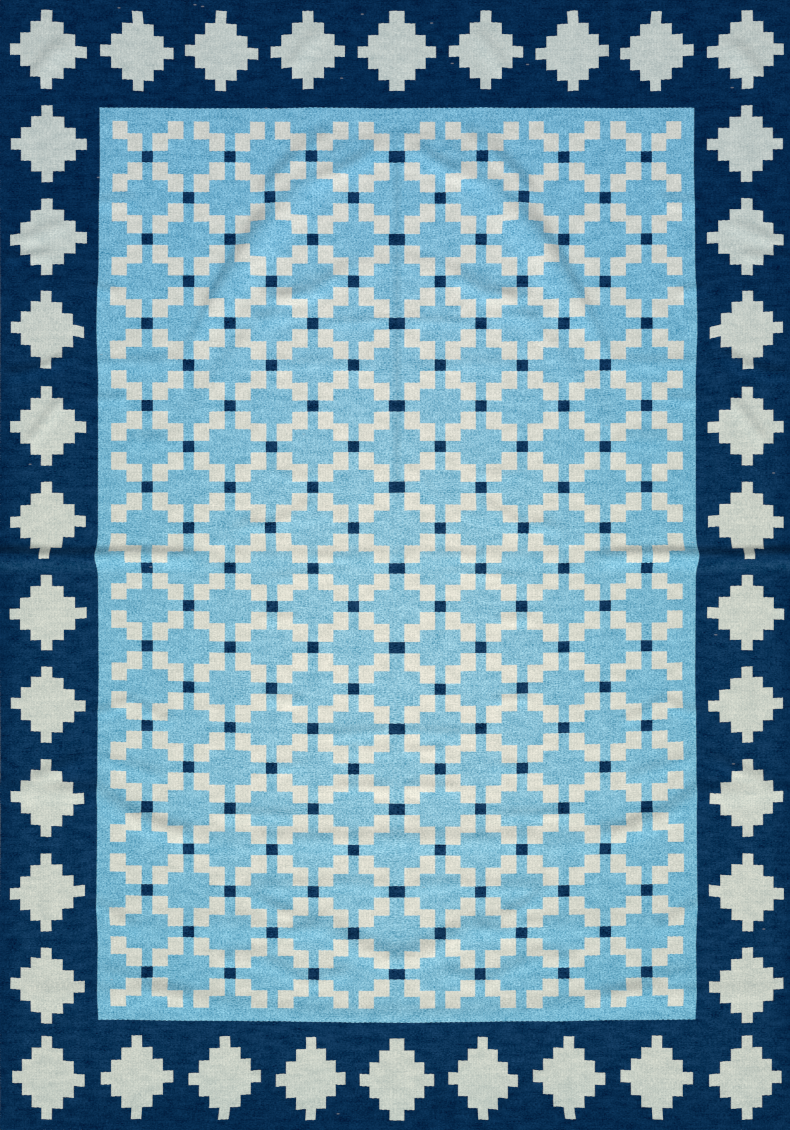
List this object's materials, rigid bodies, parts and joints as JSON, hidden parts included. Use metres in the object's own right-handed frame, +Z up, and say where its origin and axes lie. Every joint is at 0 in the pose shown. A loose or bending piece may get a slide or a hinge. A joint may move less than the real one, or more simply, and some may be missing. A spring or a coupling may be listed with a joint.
{
  "type": "dhurrie rug",
  "caption": "Flat-woven floor rug with a stepped-diamond border around a diagonal lattice field, lying flat with the soft folds left by storage.",
  "frame": {"origin": "on the floor under the middle of the rug, at the bottom centre of its box", "axes": "+Z up from the floor, +Y along the rug's length towards its head end, +X across its width"},
  "size_m": [1.41, 2.005, 0.0163],
  "materials": {
    "flatweave": "matt weft-faced flatweave in navy, light blue and cream yarn"
  },
  "bodies": {
    "root": {"dhurrie_cloth": "flatweave"}
  },
  "joints": []
}
